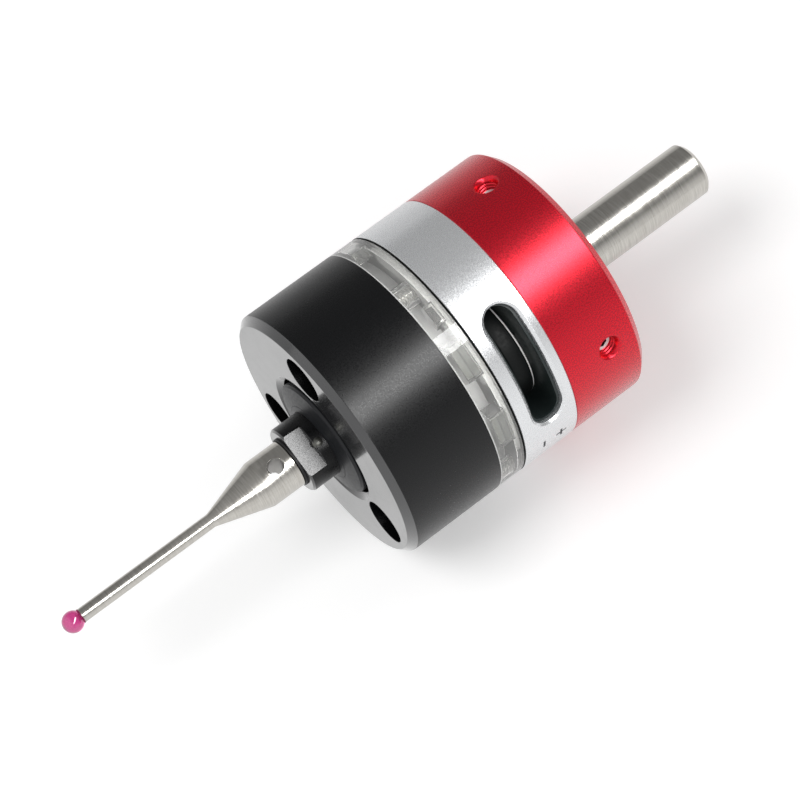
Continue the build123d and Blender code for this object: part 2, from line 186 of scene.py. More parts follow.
def add_block(bm, size, place, corner=0.0):
    """Adds a box of (x, y, z) millimetres, its edges along Z rounded."""
    made = bmesh.ops.create_cube(bm, size=1.0)["verts"]
    bmesh.ops.scale(bm, vec=Vector(size) * MM, verts=made)
    if corner:
        uprights = [edge for edge in {edge for vert in made for edge in vert.link_edges}
                    if abs((edge.verts[0].co - edge.verts[1].co).normalized().z) > ALIGNED]
        bevelled = bmesh.ops.bevel(bm, geom=uprights, offset=corner * MM, segments=CORNER_STEPS,
                                   profile=0.5, affect="EDGES", material=-1)
        rounded = {vert for face in bevelled["faces"] for vert in face.verts}
        made = list(rounded | {vert for vert in made if vert.is_valid})
    bmesh.ops.transform(bm, matrix=place, verts=made)


def add_hexagon(bm, across_flats, low, high, place):
    """Adds a six-sided prism between two heights, for a hex socket."""
    radius = across_flats / sqrt(3) * MM
    centre = Matrix.Translation((0, 0, (low + high) / 2 * MM))
    bmesh.ops.create_cone(bm, cap_ends=True, segments=6, radius1=radius, radius2=radius,
                          depth=(high - low) * MM, matrix=place @ centre)


def slot_shape(layers, place, closed_band=False):
    """A round-ended bar along +Z, or a band that closes on itself. Each layer is (height, width,
    thickness), with its width along Y, and its height may be a function of the place along Y."""
    bm = bmesh.new()
    for index, (_, width, thickness) in enumerate(layers):
        loop = bmesh.ops.create_circle(bm, segments=HOLE_STEPS, radius=thickness / 2 * MM)["verts"]
        bmesh.ops.rotate(bm, verts=loop, matrix=Matrix.Rotation(pi / HOLE_STEPS, 3, "Z"))
        half = (width - thickness) / 2 * MM
        for vert in loop:
            vert.co.y += half if vert.co.y > 0 else -half
            vert.co.z = index
    sides = [edge for edge in bm.edges if edge.verts[0].co.y * edge.verts[1].co.y < 0]
    bmesh.ops.subdivide_edges(bm, edges=sides, cuts=HOLE_STEPS // 2)
    loops = [[edge for edge in bm.edges if edge.verts[0].co.z == index]
             for index in range(len(layers))]
    for loop, (height, _, _) in zip(loops, layers):
        for vert in {vert for edge in loop for vert in edge.verts}:
            vert.co.z = height(vert.co.y / MM) * MM if callable(height) else height * MM
    following = loops[1:] + loops[:1] if closed_band else loops[1:]
    for lower, upper in zip(loops, following):
        bmesh.ops.bridge_loops(bm, edges=lower + upper)
    if not closed_band:
        for loop in (loops[0], loops[-1]):
            bmesh.ops.contextual_create(bm, geom=loop)
    bmesh.ops.transform(bm, matrix=place, verts=bm.verts)
    return bm


def cut_away(piece, bm, material=None):
    """Takes the shapes in a bmesh out of a piece. The cut faces take the cutter's material."""
    tool = as_object("cutter", bm, material or piece.data.materials[0])
    cut = piece.modifiers.new("cut", "BOOLEAN")
    cut.operation = "DIFFERENCE"
    cut.solver = "EXACT"
    cut.material_mode = "TRANSFER"
    cut.object = tool
    evaluated = piece.evaluated_get(bpy.context.evaluated_depsgraph_get())
    mesh = bpy.data.meshes.new_from_object(evaluated)
    piece.modifiers.clear()
    old = piece.data
    piece.data = mesh
    bpy.data.meshes.remove(old)
    bpy.data.objects.remove(tool)


def smooth(piece, edge_break=0.0, sharp=30):
    """Shades curved faces smoothly, keeps corners crisp, and breaks them with a small bevel."""
    mesh = piece.data
    for face in mesh.polygons:
        face.use_smooth = True
    mesh.set_sharp_from_angle(angle=radians(sharp))
    if edge_break:
        bevel = piece.modifiers.new("edge break", "BEVEL")
        bevel.width = edge_break * MM
        bevel.segments = 2
        bevel.limit_method = "ANGLE"
        bevel.angle_limit = radians(sharp)
        bevel.use_clamp_overlap = False
        bevel.harden_normals = True
        bevel.profile = 0.5


def repaint(piece, material, chosen):
    """Gives the chosen faces of a piece one more material."""
    piece.data.materials.append(material)
    for face in piece.data.polygons:
        if chosen(face):
            face.material_index = len(piece.data.materials) - 1


def faces_front(face):
    """True for a front face, and for the chamfers turned with it."""
    return face.normal.x < -TOWARDS


def radius_of(face):
    """How far a face's middle lies from the tool's axis, in metres."""
    return hypot(face.center.y, face.center.z)


def join(piece, body, slot, *nodes):
    """Fixes a piece to its body and hides the nodes that it stands for. The slot is not used."""
    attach(piece, body)
    if nodes:
        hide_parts(*nodes)


# Materials

# Most values of a noise lie between these
NOISE_LOW = 0.3
NOISE_HIGH = 0.7

# How far the roughness of metal rises and falls over its surface
ROUGHNESS_SPREAD = 0.05


def new_material(name):
    """A material with its Principled shader and node tree."""
    material = bpy.data.materials.new(name)
    material.use_nodes = True
    tree = material.node_tree
    shader = tree.nodes["Principled BSDF"]
    return material, tree, shader


def object_noise(tree, scale, detail=2.0, stretch=(1, 1, 1)):
    """Noise on the object's own coordinates; scale is in features per metre."""
    place = tree.nodes.new("ShaderNodeTexCoord")
    mapping = tree.nodes.new("ShaderNodeMapping")
    mapping.inputs["Scale"].default_value = stretch
    noise = tree.nodes.new("ShaderNodeTexNoise")
    noise.inputs["Scale"].default_value = scale
    noise.inputs["Detail"].default_value = detail
    tree.links.new(place.outputs["Object"], mapping.inputs["Vector"])
    tree.links.new(mapping.outputs["Vector"], noise.inputs["Vector"])
    return noise.outputs["Fac"]


def fade(tree, source, start, end, first, last):
    """Changes from the first value to the last while the source goes from start to end."""
    spread = tree.nodes.new("ShaderNodeMapRange")
    spread.inputs["From Min"].default_value = start
    spread.inputs["From Max"].default_value = end
    spread.inputs["To Min"].default_value = first
    spread.inputs["To Max"].default_value = last
    tree.links.new(source, spread.inputs["Value"])
    return spread.outputs["Result"]


def vary(tree, noise, low, high):
    """Maps a noise value onto a range."""
    return fade(tree, noise, NOISE_LOW, NOISE_HIGH, low, high)


def tint(tree, shader, source, dark, light):
    """Colours the base between two close colours."""
    ramp = tree.nodes.new("ShaderNodeMix")
    ramp.data_type = "RGBA"
    ramp.inputs["A"].default_value = (*dark, 1)
    ramp.inputs["B"].default_value = (*light, 1)
    tree.links.new(source, ramp.inputs["Factor"])
    tree.links.new(ramp.outputs["Result"], shader.inputs["Base Color"])


def roughen(tree, shader, noise, low, high):
    """Lets the roughness follow a noise value between two limits."""
    tree.links.new(vary(tree, noise, low, high), shader.inputs["Roughness"])


def bump(tree, shader, source, strength, distance):
    """Raises the surface by a noise value; distance is in millimetres."""
    relief = tree.nodes.new("ShaderNodeBump")
    relief.inputs["Strength"].default_value = strength
    relief.inputs["Distance"].default_value = distance * MM
    tree.links.new(source, relief.inputs["Height"])
    tree.links.new(relief.outputs["Normal"], shader.inputs["Normal"])


def blasted(name, dark, light, metallic, rough, grain, coat=0.0, coat_roughness=0.3, specular=0.5):
    """Bead-blasted and anodised aluminium."""
    material, tree, shader = new_material(name)
    shader.inputs["Metallic"].default_value = metallic
    shader.inputs["Specular IOR Level"].default_value = specular
    shader.inputs["Coat Weight"].default_value = coat
    shader.inputs["Coat Roughness"].default_value = coat_roughness
    fine = object_noise(tree, 5200)
    tint(tree, shader, vary(tree, object_noise(tree, 6500), 0.0, 1.0), dark, light)
    roughen(tree, shader, fine, rough - ROUGHNESS_SPREAD, rough + ROUGHNESS_SPREAD)
    bump(tree, shader, fine, grain, 0.012)
    return material


def turned_finish(name, dark, light, metallic, rough, relief, coat=0.0, coat_index=1.5):
    """A lathe-turned finish, with fine marks round the tool's axis."""
    material, tree, shader = new_material(name)
    shader.inputs["Metallic"].default_value = metallic
    shader.inputs["Coat Weight"].default_value = coat
    shader.inputs["Coat Roughness"].default_value = 0.12
    shader.inputs["Coat IOR"].default_value = coat_index
    rings = object_noise(tree, 900, detail=3.0, stretch=(9, 0.35, 0.35))
    tint(tree, shader, vary(tree, rings, 0.0, 1.0), dark, light)
    roughen(tree, shader, rings, rough - ROUGHNESS_SPREAD, rough + ROUGHNESS_SPREAD)
    bump(tree, shader, rings, relief, 0.01)
    return material


def plain(name, colour, metallic, roughness, grain=0.1, scale=2500, specular=0.5):
    """A plain moulded, milled or plated finish with a faint grain."""
    material, tree, shader = new_material(name)
    shader.inputs["Metallic"].default_value = metallic
    shader.inputs["Specular IOR Level"].default_value = specular
    noise = object_noise(tree, scale)
    dark = tuple(0.88 * part for part in colour)
    tint(tree, shader, vary(tree, noise, 0.0, 1.0), dark, colour)
    roughen(tree, shader, noise, roughness * 0.85, min(1.0, roughness * 1.15))
    bump(tree, shader, noise, grain, 0.01)
    return material


def see_through(name, colour, clearness, index, rough_low, rough_high, relief, coat=0.0):
    """Clear plastic or gem."""
    material, tree, shader = new_material(name)
    shader.inputs["Base Color"].default_value = (*colour, 1)
    shader.inputs["Transmission Weight"].default_value = clearness
    shader.inputs["IOR"].default_value = index
    shader.inputs["Coat Weight"].default_value = coat
    shader.inputs["Coat Roughness"].default_value = 0.03
    cloud = object_noise(tree, 700)
    roughen(tree, shader, cloud, rough_low, rough_high)
    bump(tree, shader, cloud, relief, 0.02)
    return material


# Each finish gives its colours, then how metallic and how rough it is, then its relief. A clear
# one gives its colour, clearness and refractive index, then its roughness and relief.
ANODISED_BLACK = ((0.001, 0.0012, 0.0016), (0.002, 0.0022, 0.0028), 0.0, 0.3)
BLACK = blasted("black_anodised_aluminium", *ANODISED_BLACK, 0.12, specular=0.36)
BLACK_FACE = turned_finish("black_turned_face", (0.012, 0.0125, 0.014), (0.016, 0.0165, 0.018),
                           0.0, 0.2, 0.015, coat=1.0, coat_index=1.58)
COLLAR_BLACK = blasted("black_collar", *ANODISED_BLACK, 0.1, specular=0.36)
DISC_BLACK = plain("black_disc", (0.012, 0.013, 0.015), 0.0, 0.36, 0.05, specular=0.22)
MILLED = plain("milled_flat", (0.02, 0.02, 0.021), 0.0, 0.24, 0.005, scale=4000, specular=0.7)
SILVER = blasted("silver_anodised_aluminium", (0.74, 0.75, 0.77), (0.82, 0.83, 0.84),
                 0.8, 0.28, 0.2)
RED = blasted("red_anodised_aluminium", (0.58, 0.002, 0.016), (0.66, 0.003, 0.022),
              0.8, 0.28, 0.12, coat=0.45, coat_roughness=0.28)
STEEL = turned_finish("turned_stainless", (0.52, 0.50, 0.46), (0.66, 0.64, 0.60), 1.0, 0.2, 0.12)
BORED_STEEL = plain("bored_stainless", (0.34, 0.33, 0.31), 1.0, 0.34)
PIN_STEEL = plain("dark_pin", (0.13, 0.13, 0.12), 1.0, 0.42)
SCREW_STEEL = plain("blackened_screw", (0.05, 0.05, 0.055), 1.0, 0.35)
THREAD_STEEL = plain("zinc_thread", (0.45, 0.44, 0.41), 1.0, 0.36)
BRIGHT_STEEL = plain("polished_steel", (0.78, 0.77, 0.75), 1.0, 0.14, 0.05)
RUBBER = plain("moulded_rubber", (0.012, 0.012, 0.013), 0.0, 0.55, 0.2)
LINER = plain("black_liner", (0.020, 0.028, 0.028), 0.0, 0.4, 0.2)
# Black rubber of the gasket, also painted on the clear ring's rear edge as painted shade
GASKET_AND_PAINTED_SHADE = plain("gasket_and_painted_shade", (0.003, 0.003, 0.003), 0.0, 0.8, 0.1, specular=0.15)
INSULATOR = plain("insulating_plastic", (0.78, 0.76, 0.68), 0.0, 0.45)
BOARD = plain("board_mask", (0.80, 0.80, 0.79), 0.0, 0.4)
LAMP = plain("lamp_body", (0.05, 0.055, 0.045), 0.0, 0.35)
LENS = plain("lamp_lens", (0.08, 0.085, 0.07), 0.0, 0.3)
SEAM = plain("lamp_seam", (0.05, 0.05, 0.05), 0.0, 0.5)
CHIP = plain("chip_body", (0.02, 0.02, 0.02), 0.0, 0.3)
SOLDER = plain("solder_pads", (0.75, 0.75, 0.73), 0.6, 0.35)
NICKEL = plain("nickel_plate", (0.30, 0.30, 0.29), 1.0, 0.22)
# Near-black painted on the coin cell's steel sides as painted shade
CELL_PAINTED_SHADE = plain("cell_painted_shade", (0.003, 0.004, 0.004), 0.0, 0.55, 0.1, specular=0.2)
# Pale white painted on the coin cell's rear rim and on the set screws' top edges as a painted
# highlight
PAINTED_HIGHLIGHT_RIM = plain("painted_highlight_rim", (0.95, 0.95, 0.94), 0.2, 0.5, 0.05)
BRASS = plain("turned_brass", (0.72, 0.55, 0.27), 1.0, 0.3)
GLUE = plain("ball_glue", (0.16, 0.01, 0.05), 0.0, 0.3)
MARK = plain("etched_mark", (0.05, 0.05, 0.055), 0.0, 0.6)
CLEAR = see_through("window_acrylic", (0.90, 0.90, 0.88), 0.87, 1.49, 0.03, 0.07, 0.05)
MILLED_CLEAR = see_through("milled_acrylic", (0.80, 0.80, 0.78), 0.97, 1.49, 0.1, 0.2, 0.1)
FROSTED_CLEAR = see_through("frosted_acrylic", (0.95, 0.95, 0.94), 0.25, 1.49, 0.5, 0.6, 0.3)
# Opaque pale white painted on the clear ring's front chamfer as a painted highlight
PAINTED_HIGHLIGHT_EDGE = plain("painted_highlight_acrylic", (0.85, 0.85, 0.84), 0.0, 0.3)
RUBY = see_through("ruby_gem", (0.70, 0.05, 0.29), 0.7, 1.76, 0.05, 0.1, 0.0, coat=0.6)

# Front housing

OPENING_R = 9.2
OPENING_CHAMFER = 0.75
BODY_CHAMFER = 1.0
COUNTERBORE_R = 3.3
COUNTERBORE_DEPTH = 10.0
POCKET_FLOOR = 3.0
POCKET_OUTER_R = 16.0
POCKET_WIDTH = 8.4
POCKET_CORNER = 2.0


def front_housing():
    """Black cup with its chamfer, opening, counterbores and arm pockets."""
    cup = turned("front_housing_cup", [
        (FRONT_X, OPENING_R + OPENING_CHAMFER),
        (FRONT_X, BODY_R - BODY_CHAMFER),
        (FRONT_X + BODY_CHAMFER, BODY_R),
        (WINDOW_X, BODY_R),
        (WINDOW_X, OPENING_R),
        (FRONT_X + OPENING_CHAMFER, OPENING_R),
    ], BLACK)
    bm = bmesh.new()
    length = WINDOW_X - FRONT_X
    add_at_screws(bm, [
        (-BEYOND, 0),
        (-BEYOND, COUNTERBORE_R),
        (COUNTERBORE_DEPTH, COUNTERBORE_R),
        (COUNTERBORE_DEPTH, SCREW_HOLE_R),
        (length + BEYOND, SCREW_HOLE_R),
        (length + BEYOND, 0),
    ], FRONT_X)
    deep = length - POCKET_FLOOR + BEYOND
    radial = POCKET_OUTER_R - OPENING_R + 2 * POCKET_CORNER
    for angle in SEAT_ANGLES:
        place = along(angle, POCKET_OUTER_R - radial / 2, WINDOW_X + BEYOND - deep / 2)
        add_block(bm, (radial, POCKET_WIDTH, deep), place, POCKET_CORNER)
    cut_away(cup, bm)
    repaint(cup, BLACK_FACE, faces_front)
    smooth(cup, edge_break=0.07)
    join(cup, "body", "black_anodised", "front_housing")


# Dust washer and the rubber ring on the neck

NECK_R = 4.9
WASHER_R = 8.7
WASHER_INNER_R = 5.76
WASHER_CHAMFER = 0.3
WASHER_EDGE_X = FRONT_X - 0.2
WASHER_CROWN_X = WASHER_EDGE_X - 0.45
WASHER_REAR_X = WASHER_EDGE_X + 1.2
SEAL_R = WASHER_INNER_R - FIT
SEAL_FRONT_X = WASHER_CROWN_X - 0.15
SEAL_LIP = 0.4
SEAL_LIP_THICKNESS = 0.3


def dust_washer():
    """Slightly crowned washer that closes the opening."""
    washer = turned("dust_washer_disc", [
        (WASHER_CROWN_X, WASHER_INNER_R),
        (WASHER_EDGE_X, WASHER_R - WASHER_CHAMFER),
        (WASHER_EDGE_X + WASHER_CHAMFER, WASHER_R),
        (WASHER_REAR_X, WASHER_R),
        (WASHER_REAR_X, WASHER_INNER_R),
    ], DISC_BLACK)
    smooth(washer, edge_break=0.05)
    join(washer, "washer", "black_anodised", "dust_washer")


def neck_seal():
    """Rubber ring between the washer and the neck, with a lip behind the washer."""
    lip_x = WASHER_REAR_X + FIT
    seal = turned("neck_seal_ring", [
        (SEAL_FRONT_X, NECK_R + FIT),
        (WASHER_CROWN_X, SEAL_R),
        (lip_x, SEAL_R),
        (lip_x, SEAL_R + SEAL_LIP),
        (lip_x + SEAL_LIP_THICKNESS, SEAL_R),
        (lip_x + SEAL_LIP_THICKNESS, NECK_R + FIT),
    ], DISC_BLACK, SMALL_STEPS)
    smooth(seal, edge_break=0.02)
    join(seal, "seal", "rubber", "neck_seal")


# Stylus holder with its collar, neck and hub, and the pin beside one flat

COLLAR_X = FRONT_X - 5.1
COLLAR_CHAMFER = 0.25
FLAT_ANGLE = 18
FLAT_AF = 7.5
FLAT_LENGTH = 2.8
HUB_R = 6.8
HUB_X = FRONT_X + 2.4
HUB_REAR_X = FRONT_X + 9.0
HUB_CHAMFER = 0.3
NIPPLE_R = 3.2
NIPPLE_LENGTH = 1.0
BORE_R = 2.05
BORE_DEPTH = 6.7
PIN_R = 0.8
PIN_X = FRONT_X - 1.7
PIN_PROUD = 0.15
PIN_DOME_R = 1.2
PIN_DOME_ANGLE = 42
PIN_DOME_STEPS = 6


def stylus_holder():
    """Collar with two milled flats, neck, and the hub that carries the arms."""
    holder = turned("stylus_holder_collar", [
        (COLLAR_X, BORE_R),
        (COLLAR_X, NECK_R - COLLAR_CHAMFER),
        (COLLAR_X + COLLAR_CHAMFER, NECK_R),
        (HUB_X, NECK_R),
        (HUB_X, HUB_R - HUB_CHAMFER),
        (HUB_X + HUB_CHAMFER, HUB_R),
        (HUB_REAR_X - HUB_CHAMFER, HUB_R),
        (HUB_REAR_X, HUB_R - HUB_CHAMFER),
        (HUB_REAR_X, NIPPLE_R),
        (HUB_REAR_X + NIPPLE_LENGTH, NIPPLE_R),
        (HUB_REAR_X + NIPPLE_LENGTH, BORE_R),
    ], COLLAR_BLACK, MIDDLE_STEPS)
    bm = bmesh.new()
    for side in (0, 180):
        place = facing(FLAT_ANGLE + side, FLAT_AF / 2 + NECK_R, COLLAR_X + FLAT_LENGTH / 2 - BEYOND)
        add_block(bm, (FLAT_LENGTH + 2 * BEYOND, 4 * NECK_R, 2 * NECK_R), place)
    cut_away(holder, bm, MILLED)
    repaint(holder, BLACK_FACE, faces_front)
    smooth(holder, edge_break=0.05)
    join(holder, "probe", "black_anodised", "stylus_holder")


def lock_pin():
    """Dark pin with a domed end, half covered by the edge of the flat."""
    top = NECK_R + PIN_PROUD
    edge = PIN_DOME_R - sqrt(PIN_DOME_R ** 2 - PIN_R ** 2)
    dome = arc(top - PIN_DOME_R, PIN_DOME_R, 0, PIN_DOME_ANGLE, PIN_DOME_STEPS)[:-1]
    outline = dome + [(top - edge, PIN_R), (BORE_R, PIN_R), (BORE_R, 0)]
    bm = bmesh.new()
    add_turned(bm, outline, HOLE_STEPS, facing(FLAT_ANGLE, 0, PIN_X))
    pin = as_object("lock_pin_dome", bm, PIN_STEEL)
    smooth(pin)
    join(pin, "probe", "bright_steel", "lock_pin")


# Stylus, its washer and the ruby ball

STYLUS_WASHER_R = 3.65
STYLUS_WASHER_X = COLLAR_X - 0.3
BASE_R = 3.45
BASE_CHAMFER = 0.15
CONE_REAR_X = STYLUS_WASHER_X - 5.0
CONE_FRONT_X = CONE_REAR_X - 8.0
THREAD_R = 2.0
THREAD_DEPTH = 0.35
THREAD_END_X = COLLAR_X + BORE_DEPTH - FIT
THREAD_PITCH = 0.7
CROSS_HOLE_R = 1.1
CROSS_HOLE_CHAMFER = 0.15
CROSS_HOLE_ANGLE = 6
CROSS_HOLE_X = STYLUS_WASHER_X - 2.5
STEM_R = 1.0
STEM_CHAMFER = 0.08
BALL_R = 1.5
BALL_X = FRONT_X - 40.6
BALL_STEPS = 48
STEM_END_X = BALL_X + BALL_R - 0.35
PEG_R = 0.45
PEG_X = BALL_X + 0.5
PEG_ROOT = 0.12
# Where the ball's outside meets the hole for the peg, in degrees from the stem
PEG_HOLE_ANGLE = 18.7
GLUE_INNER_R = STEM_R - 0.12
GLUE_END = 0.16


def stylus():
    """Steel stylus: base with a cross hole, cone, stem and the peg for the ball."""
    root = THREAD_R - THREAD_DEPTH
    ridges = thread(STYLUS_WASHER_X + THREAD_PITCH, THREAD_END_X - THREAD_PITCH,
                    THREAD_R, THREAD_DEPTH, THREAD_PITCH)
    piece = turned("stylus_stem", [
        (PEG_X, 0),
        (PEG_X, PEG_R),
        (STEM_END_X + PEG_ROOT, PEG_R),
        (STEM_END_X, STEM_R - STEM_CHAMFER),
        (STEM_END_X + STEM_CHAMFER, STEM_R),
        (CONE_FRONT_X, STEM_R),
        (CONE_REAR_X, BASE_R),
        (STYLUS_WASHER_X - BASE_CHAMFER, BASE_R),
        (STYLUS_WASHER_X, BASE_R - BASE_CHAMFER),
        (STYLUS_WASHER_X, root),
        *ridges,
        (THREAD_END_X, root),
        (THREAD_END_X, 0),
    ], STEEL, SMALL_STEPS)
    reach = 2 * BASE_R
    half = [(0, CROSS_HOLE_R), (BASE_R - CROSS_HOLE_CHAMFER, CROSS_HOLE_R),
            (reach, CROSS_HOLE_R + reach - BASE_R + CROSS_HOLE_CHAMFER)]
    outline = [(-length, radius) for length, radius in reversed(half[1:])] + half[1:]
    outline = [(-reach, 0)] + outline + [(reach, 0)]
    bm = bmesh.new()
    add_turned(bm, outline, HOLE_STEPS, facing(CROSS_HOLE_ANGLE, 0, CROSS_HOLE_X))
    cut_away(piece, bm, BORED_STEEL)
    smooth(piece, edge_break=0.03, sharp=25)
    join(piece, "probe", "steel", "stylus")


def stylus_washer():
    """Thin black washer between the stylus and the collar."""
    washer = turned("stylus_washer_ring", [
        (STYLUS_WASHER_X, BORE_R),
        (STYLUS_WASHER_X, STYLUS_WASHER_R),
        (COLLAR_X, STYLUS_WASHER_R),
        (COLLAR_X, BORE_R),
    ], RUBBER, SMALL_STEPS)
    smooth(washer, edge_break=0.06)
    join(washer, "probe", "rubber", "stylus_washer")


def ruby_ball():
    """Ruby ball with the blind hole for the stem's peg, and the ring of glue at the stem."""
    hole_r = PEG_R + FIT
    hole_edge = sqrt(BALL_R ** 2 - hole_r ** 2)
    ball = turned("ruby_tip", [
        *arc(BALL_X, BALL_R, 180, PEG_HOLE_ANGLE, BALL_STEPS)[:-1],
        (BALL_X + hole_edge, hole_r),
        (PEG_X - FIT, hole_r),
        (PEG_X - FIT, 0),
    ], RUBY, SMALL_STEPS)
    smooth(ball)
    glue = turned("ball_glue_ring", [
        (STEM_END_X - 0.02, GLUE_INNER_R),
        (STEM_END_X + 0.02, STEM_R + 0.05),
        (STEM_END_X + GLUE_END, STEM_R + 0.03),
        (STEM_END_X + GLUE_END, GLUE_INNER_R),
    ], GLUE, SMALL_STEPS)
    smooth(glue, edge_break=0.02)
    join(glue, "probe", "ruby")
    join(ball, "probe", "ruby", "ruby_ball")


# Stack screws

HEAD_R = 2.75
HEAD_CHAMFER = 0.3
HEAD_HEIGHT = 3.0
HEAD_SOCKET_AF = 2.5
SOCKET_DEPTH = 1.6
HEAD_X = FRONT_X + COUNTERBORE_DEPTH - HEAD_HEIGHT
SCREW_R = 1.5
SCREW_PITCH = 0.5
SCREW_THREAD_DEPTH = 0.3
SCREW_END_R = SCREW_R - 0.4
SCREW_END_X = CAP_X + 6.0
# Behind the head: the end of the plain length, the change of finish, and the first ridge
GRIP_END = 3.8
FINISH_CHANGE = 3.9
FIRST_RIDGE = 4.0


def stack_screws():
    """Three socket-head screws with their threads."""
    length = SCREW_END_X - HEAD_X
    ridges = thread(HEAD_HEIGHT + FIRST_RIDGE, length - SCREW_PITCH,
                    SCREW_R, SCREW_THREAD_DEPTH, SCREW_PITCH)
    bm = bmesh.new()
    add_at_screws(bm, [
        (0, 0),
        (0, HEAD_R - HEAD_CHAMFER),
        (HEAD_CHAMFER, HEAD_R),
        (HEAD_HEIGHT, HEAD_R),
        (HEAD_HEIGHT, SCREW_R),
        (HEAD_HEIGHT + GRIP_END, SCREW_R),
        *ridges,
        (length, SCREW_END_R),
        (length, 0),
    ], HEAD_X)
    sockets = bmesh.new()
    for angle in SCREW_ANGLES:
        place = along(angle, SCREW_CIRCLE_R, HEAD_X)
        add_hexagon(sockets, HEAD_SOCKET_AF, -BEYOND, SOCKET_DEPTH, place)
    screws = as_object("stack_screws_m3", bm, SCREW_STEEL)
    cut_away(screws, sockets)
    threads_x = (HEAD_X + HEAD_HEIGHT + FINISH_CHANGE) * MM
    repaint(screws, THREAD_STEEL, lambda face: face.center.x > threads_x)
    smooth(screws, sharp=50)
    join(screws, "body", "screw_steel", "stack_screws")


# Clear window ring, with the lamps and chip that stand on the board behind it

WINDOW_INNER_R = 11.0
REBATE_R = 16.771
# The clear ring's rear face is painted black as painted shade, from its outside in to this radius
GASKET_EDGE_R = BODY_R - 0.8
RING_CHAMFER = 0.12
LAMP_OUTER_R = 17.4
LAMP_WIDTH = 5.0
LAMP_DEPTH = 3.0
LAMP_HEIGHT = 2.0
LAMP_CORNER = 0.25
LAMP_BASE_HEIGHT = 0.95
LAMP_SEAM = 0.12
LAMP_GAP = 0.2
LAMP_POCKET_CORNER = 0.3
CHIP_ANGLE = 4
CHIP_WIDTH = 2.8
CHIP_DEPTH = 2.0
CHIP_LIFT = 0.1
CHIP_HEIGHT = 1.1
CHIP_CORNER = 0.1
FOOT_ANGLE = 3.9
FOOT_WIDTH = 0.45
FOOT_DEPTH = 0.35
FOOT_HEIGHT = 0.45
FOOT_PITCH = 0.6
FOOT_CORNER = 0.05


def add_on_board(bm, angle, outer_r, width, depth, low, high, corner):
    """Adds a box on the front of the lamp board, between two heights above it."""
    place = along(angle, outer_r - depth / 2, BOARD_X - (low + high) / 2)
    turn = Matrix.Rotation(pi / 2, 4, "Z")
    add_block(bm, (width, depth, high - low), place @ turn, corner)


def window_ring():
    """Clear ring with its screw holes, lamp pockets and the rebate for the board. Its front chamfer
    is painted pale as a painted highlight, and its rear chamfer and the outer band of its rear face
    are painted black as painted shade.
    """
    ring = turned("window_ring_clear", [
        (WINDOW_X, WINDOW_INNER_R),
        (WINDOW_X, BODY_R - RING_CHAMFER),
        (WINDOW_X + RING_CHAMFER, BODY_R),
        (GASKET_X - RING_CHAMFER, BODY_R),
        (GASKET_X, BODY_R - RING_CHAMFER),
        (GASKET_X, GASKET_EDGE_R),
        (GASKET_X, REBATE_R),
        (BOARD_X, REBATE_R),
        (BOARD_X, WINDOW_INNER_R),
    ], CLEAR)
    # Painted highlight: the front chamfer is painted an opaque pale white
    repaint(ring, PAINTED_HIGHLIGHT_EDGE, lambda face: SLANTED < -face.normal.x < ALIGNED)
    # Painted shade: the rear chamfer is painted black, darkening the groove at the gasket
    repaint(ring, GASKET_AND_PAINTED_SHADE, lambda face: SLANTED < face.normal.x < ALIGNED)
    bm = bmesh.new()
    add_at_screws(bm, bore(SCREW_HOLE_R, GASKET_X - WINDOW_X + BEYOND), WINDOW_X)
    cut_away(ring, bm)
    bm = bmesh.new()
    pockets = [(angle, LAMP_WIDTH, LAMP_DEPTH, LAMP_HEIGHT) for angle in LAMP_ANGLES]
    pockets.append((CHIP_ANGLE, CHIP_WIDTH, CHIP_DEPTH, CHIP_HEIGHT))
    for angle, width, depth, height in pockets:
        add_on_board(bm, angle, LAMP_OUTER_R + LAMP_GAP, width + 2 * LAMP_GAP, depth + 2 * LAMP_GAP,
                     -LAMP_GAP, height + LAMP_GAP, LAMP_POCKET_CORNER)
    cut_away(ring, bm, MILLED_CLEAR)
    inside_r = (WINDOW_INNER_R + 0.1) * MM
    rear_x = (GASKET_X - 0.01) * MM
    repaint(ring, FROSTED_CLEAR,
            lambda face: abs(face.normal.x) > ALIGNED or radius_of(face) < inside_r)
    # Painted shade: the outer band of the rear face is painted black
    repaint(ring, GASKET_AND_PAINTED_SHADE,
            lambda face: face.center.x > rear_x and radius_of(face) > GASKET_EDGE_R * MM)
    smooth(ring, edge_break=0.02)
    ring.visible_shadow = False
    join(ring, "body", "clear_plastic", "window_ring")


def lamps():
    """Six lamps: a moulded base and a lens, with a dark seam between them."""
    seam_top = LAMP_BASE_HEIGHT + LAMP_SEAM
    for name, material, low, high, shrink in (
        ("lamp_bases", LAMP, 0.0, LAMP_BASE_HEIGHT, 0.0),
        ("lamp_seams", SEAM, LAMP_BASE_HEIGHT, seam_top, 0.05),
        ("lamp_lenses", LENS, seam_top, LAMP_HEIGHT, 0.15),
    ):
        bm = bmesh.new()
        for angle in LAMP_ANGLES:
            add_on_board(bm, angle, LAMP_OUTER_R - shrink, LAMP_WIDTH - 2 * shrink,
                         LAMP_DEPTH - 2 * shrink, low, high, LAMP_CORNER)
        piece = as_object(name, bm, material)
        smooth(piece, edge_break=0.04)
        join(piece, "body", "lamp_body", "lamps")


